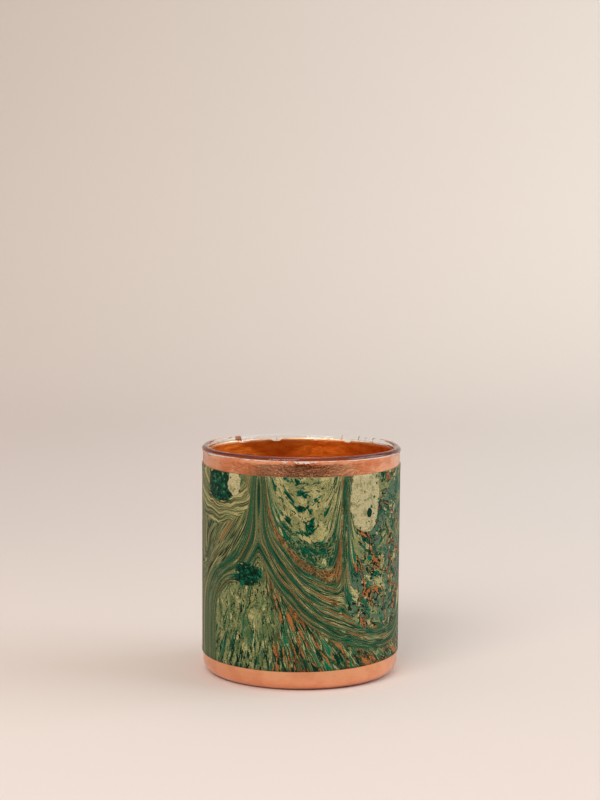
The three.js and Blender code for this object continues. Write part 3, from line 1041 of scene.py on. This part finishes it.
def crumb_tree(roll):
    """Scatters crumbs of leaf above the torn edge, thickest close to it, all the way round the lip."""
    sizes = {name: "Int" if isinstance(value, int) else "Float" for name, value in CRUMB_SIZES.items()}
    inputs = {"Geometry": "Geometry", **sizes, "Material": "Material"}
    t, given = new_group("Crumbs of leaf", "GeometryNodeTree", inputs, ("Geometry", "Geometry"))

    def chance(low, high, shift):
        made = t.node("FunctionNodeRandomValue", data_type="FLOAT")
        low_in, high_in = [socket for socket in made.inputs if socket.enabled and socket.type == "VALUE"][:2]
        t.put(low_in, low)
        t.put(high_in, high)
        t.fill(made, Seed=t.math("ADD", given["Seed"], float(shift)))
        return [socket for socket in made.outputs if socket.enabled][0]

    half_way = math.pi * MEAN_RADIUS
    closeness = chance(0.0, 1.0, 1)
    rise = t.math("MULTIPLY", closeness, closeness)
    band = t.math("SUBTRACT", given["Highest"], given["Lowest"])
    height = t.math("MULTIPLY_ADD", rise, band, given["Lowest"])
    place = t.combine(chance(-half_way, half_way, 2), given["Bite"], height)
    points = t.shape("Points", Count=given["Count"], Position=place)
    crumb = t.shape("MeshCylinder", Vertices=7, Radius=1.0, Depth=1.0)
    at = t.node("GeometryNodeInputPosition").outputs[0]
    uneven = t.noise(t.vector("MULTIPLY", at, (1.0, 1.0, 0.0)), 1.3, 2.0, output="Color")
    moved = t.scaled(t.vector("SUBTRACT", uneven, (0.5, 0.5, 0.5)), 1.8)
    ragged = t.shape("SetPosition", Geometry=crumb, Offset=moved)
    flat = t.shape("Transform", Geometry=ragged, Rotation=(math.pi / 2, 0.0, 0.0))
    size = t.combine(
        chance(given["Smallest"], given["Largest"], 3), given["Crumb thickness"],
        chance(given["Smallest"], given["Largest"], 4),
    )
    turn = t.combine(0.0, chance(0.0, 2 * math.pi, 5), 0.0)
    laid = t.shape("InstanceOnPoints", Points=points, Instance=flat, Rotation=turn, Scale=size)
    onto_wall = t.node("GeometryNodeGroup", node_tree=roll)
    t.put(onto_wall.inputs["Geometry"], t.shape("RealizeInstances", Geometry=laid))
    for name, value in ROLL_SIZES.items():
        t.put(onto_wall.inputs[name], value)
    t.result(t.shape("SetMaterial", Geometry=onto_wall.outputs[0], Material=given["Material"]))
    return t.tree


def leaf_crumbs(materials, roll):
    plan = bpy.data.meshes.new("Crumbs")
    return make("leaf_crumbs", plan, crumb_tree(roll), {**CRUMB_SIZES, "Material": materials["scrap"]})


# ---------------------------------------------------------------- stage

def backdrop_material():
    """Cream background paper, graded with painted light and shade: painted shade behind the cup, then painted
    light up the wall and to the right.
    """
    floor = (0.745, 0.68, 0.63, 1.0)
    middle_left, middle_right = (0.674, 0.612, 0.579, 1.0), (0.711, 0.680, 0.640, 1.0)
    wall_left, wall_right = (0.760, 0.690, 0.625, 1.0), (0.900, 0.850, 0.798, 1.0)
    material, t = new_material("Cream paper sweep")
    place = t.node("ShaderNodeTexCoord").outputs["Object"]
    where = t.split(place)
    mottle = t.math("MULTIPLY", t.noise(place, 5.0, 3.0, 0.5), 0.04)

    def across(half):
        made = t.node("ShaderNodeMapRange")
        t.fill(made, Value=where["X"], From_Min=-half, From_Max=half)
        return t.math("ADD", made.outputs["Result"], mottle)

    # Painted shade in the middle band behind the cup, and painted light up the wall, growing towards the
    # right.
    middle = t.mix(across(0.22), middle_left, middle_right)
    wall = t.mix(across(0.42), wall_left, wall_right)
    colour = t.mix(t.step(where["Y"], -0.08, 0.42), floor, middle)
    colour = t.mix(t.step(where["Y"], 0.7, 1.6), colour, wall)
    t.surface(t.principled(Base_Color=colour, Roughness=0.85))
    return material


def sweep():
    """A paper sweep: a floor that curves up into a wall behind the cup."""
    half_width, near, bend_start, bend, top = 3.0, -2.5, 0.9, 1.2, 3.0
    outline = [(near, 0.0), (bend_start, 0.0)]
    steps = 24
    for i in range(1, steps + 1):
        angle = 0.5 * math.pi * i / steps
        outline.append((bend_start + bend * math.sin(angle), bend * (1 - math.cos(angle))))
    outline.append((bend_start + bend, top))
    points = [(x, y, z) for y, z in outline for x in (-half_width, half_width)]
    faces = [(2 * i, 2 * i + 1, 2 * i + 3, 2 * i + 2) for i in range(len(outline) - 1)]
    mesh = bpy.data.meshes.new("Sweep")
    mesh.from_pydata(points, [], faces)
    mesh.polygons.foreach_set("use_smooth", [True] * len(faces))
    mesh.materials.append(backdrop_material())
    piece = bpy.data.objects.new("Sweep", mesh)
    scene.collection.objects.link(piece)


def dark_card():
    """A dark card in front of the cup, hidden from the camera, for the copper and the glass to mirror."""
    half, near, far, low, top = 1.1, -0.25, -1.7, 0.002, 0.9
    mesh = bpy.data.meshes.new("Dark card")
    rows = ((near, low), (far, low), (far, top))
    points = [(x, y, z) for y, z in rows for x in (half, -half)]
    mesh.from_pydata(points, [], [(0, 1, 3, 2), (2, 3, 5, 4)])
    material, t = new_material("Dark card")
    t.surface(t.principled(Base_Color=(0.012, 0.010, 0.009, 1.0), Roughness=0.9))
    mesh.materials.append(material)
    card = bpy.data.objects.new("Dark card", mesh)
    card.visible_camera = False
    card.visible_shadow = False
    scene.collection.objects.link(card)


def softbox(name, azimuth, elevation, distance, width, height, power, colour, target=(0, 0, HEIGHT / 2)):
    """A soft light aimed at the cup. The azimuth is in degrees from the front, towards the right."""
    light = bpy.data.lights.new(name, "AREA")
    light.shape = "RECTANGLE"
    light.size = width
    light.size_y = height
    light.energy = power
    light.color = colour
    lamp = bpy.data.objects.new(name, light)
    around, up = math.radians(azimuth), math.radians(elevation)
    way = Vector((math.sin(around) * math.cos(up), -math.cos(around) * math.cos(up), math.sin(up)))
    lamp.location = Vector(target) + way * distance
    lamp.rotation_euler = (-way).to_track_quat("-Z", "Y").to_euler()
    scene.collection.objects.link(lamp)


def room_light():
    """Light from the whole room: strong from the ceiling, and weak from low down."""
    horizon, ceiling = 0.235, 0.79
    world = bpy.data.worlds.new("Room")
    world.use_nodes = True
    world.node_tree.nodes.clear()
    scene.world = world
    t = Tree(world.node_tree)
    up = t.split(t.node("ShaderNodeTexCoord").outputs["Generated"])["Z"]
    strength = t.node("ShaderNodeMapRange")
    t.fill(strength, Value=up, From_Min=0.0, From_Max=1.0, To_Min=horizon, To_Max=ceiling)
    sky = t.node("ShaderNodeBackground")
    t.fill(sky, Color=(1.0, 0.90, 0.82, 1.0), Strength=strength.outputs["Result"])
    t.put(t.node("ShaderNodeOutputWorld").inputs[0], sky.outputs[0])


def lighting():
    room_light()
    softbox("Window", -24, 38, 1.6, 0.9, 0.9, 15.2, (1.0, 0.90, 0.87))
    softbox("Side light", 90, 30, 1.7, 1.5, 1.0, 14.5, (0.80, 0.90, 1.0))
    softbox("Backdrop light", 15, 35, 1.6, 1.4, 0.8, 4.2, (1.0, 0.92, 0.86), (0.25, 1.9, 0.5))


def camera():
    data = bpy.data.cameras.new("Camera")
    data.sensor_width = SENSOR
    data.lens = LENS
    data.clip_start = 0.01
    eye = bpy.data.objects.new("Camera", data)
    turn = Matrix.Rotation(-CAMERA_YAW, 4, "Z") @ Matrix.Rotation(math.pi / 2 + CAMERA_PITCH, 4, "X")
    eye.matrix_world = Matrix.Translation(CAMERA_PLACE) @ turn @ Matrix.Rotation(CAMERA_ROLL, 4, "Z")
    scene.collection.objects.link(eye)
    scene.camera = eye


def build():
    leaf = copper_leaf_material()
    materials = {
        # The leaf seen through the glass gets a painted highlight along its top edge, in this pale colour.
        "leaf": leaf, "underside": leaf_underside_material("Leaf through the glass", (0.96, 0.52, 0.24, 1.0)),
        "scrap": leaf_underside_material("Burnt scrap of leaf", (0.45, 0.12, 0.03, 1.0)),
        "paper": marbled_paper_material(), "core": paper_core_material(),
    }
    lathe = lathe_tree()
    roll = roll_tree()

    def add(piece, slot, *nodes):
        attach(piece, "root")
        if nodes:
            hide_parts(*nodes)

    add(turned("tumbler", tumbler_outline(), glass_material(), lathe), "glass", "glass_tumbler")
    add(turned("foot_leaf", base_leaf_outline(), leaf, lathe), "copper_leaf", "copper_leaf_base")
    front = leaf_sheet("front_leaf", -LEAF_HALF_TURN, LEAF_HALF_TURN, 3.1, lambda angle: 0.0, materials, roll)
    add(front, "copper_leaf", "copper_leaf_front")
    back = leaf_sheet(
        "back_leaf", math.pi - LEAF_HALF_TURN, math.pi + LEAF_HALF_TURN, 8.4,
        lambda angle: leaf_step(wrapped(angle)), materials, roll,
    )
    add(back, "copper_leaf", "copper_leaf_back")
    add(paper_band(materials, roll), "marbled_paper", "marbled_paper_band")
    add(scrap("stray_scrap", STRAY_SCRAP, materials, roll), "copper_leaf", "copper_leaf_flake")
    add(scrap("lifted_scrap", LIFTED_SCRAP, materials, roll), "copper_leaf")
    add(leaf_crumbs(materials, roll), "copper_leaf")


build()
sweep()
dark_card()
lighting()
camera()
scene.view_settings.view_transform = "Standard"
scene.cycles.max_bounces = 16
scene.cycles.glossy_bounces = 10
scene.cycles.transmission_bounces = 12
